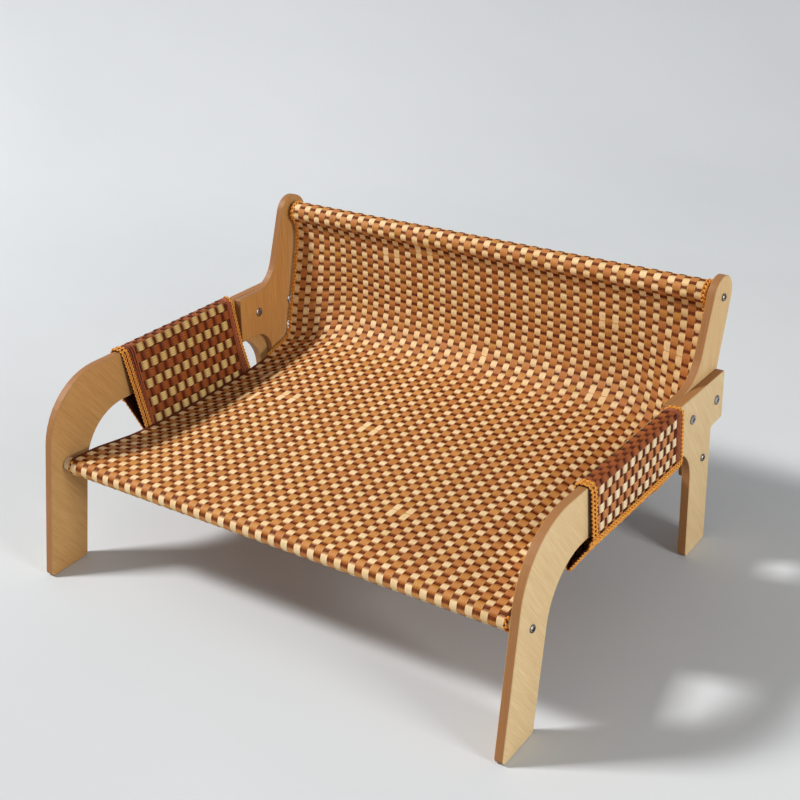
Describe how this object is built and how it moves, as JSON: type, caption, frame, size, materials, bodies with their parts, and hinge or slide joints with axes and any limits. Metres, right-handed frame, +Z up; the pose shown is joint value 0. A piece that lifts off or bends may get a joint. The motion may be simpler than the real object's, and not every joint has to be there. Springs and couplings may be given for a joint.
{
  "type": "cat sofa bed",
  "caption": "Low sofa-shaped pet bed: two arched board sides joined by round bars that carry one woven mat as seat and back, with woven armrest sleeves.",
  "frame": {"origin": "centre of the footprint, on the floor under the four feet", "axes": "+X to the right seen from the front, +Y towards the back, +Z up; the seat faces -Y"},
  "size_m": [0.571, 0.4582, 0.2785],
  "materials": {
    "board": "clear matt lacquer over pale board, fine straight grain",
    "inner_board": "clear matt lacquer over pale board, fine straight grain",
    "bar_wood": "plain sanded wood",
    "woven_straw": "flat woven straw strips in cream and tan, dark red wefts",
    "pocket_cloth": "dark brown sewn cloth",
    "screw_steel": "grey steel",
    "bolt_zinc": "zinc plated steel"
  },
  "bodies": {
    "root": {"arm_panel_left": "board", "upright_left": "inner_board", "sleeve_left": "woven_straw", "front_screw_left": "screw_steel", "crease_screw_left": "screw_steel", "top_screw_left": "screw_steel", "bolt_1_left": "bolt_zinc", "nut_1_left": "bolt_zinc", "bolt_2_left": "bolt_zinc", "nut_2_left": "bolt_zinc", "arm_panel_right": "board", "upright_right": "inner_board", "sleeve_right": "woven_straw", "front_screw_right": "screw_steel", "crease_screw_right": "screw_steel", "top_screw_right": "screw_steel", "bolt_1_right": "bolt_zinc", "nut_1_right": "bolt_zinc", "bolt_2_right": "bolt_zinc", "nut_2_right": "bolt_zinc", "front_bar": "bar_wood", "crease_bar": "bar_wood", "top_bar": "bar_wood", "woven_mat": "woven_straw", "crease_pocket": "pocket_cloth"}
  },
  "joints": []
}
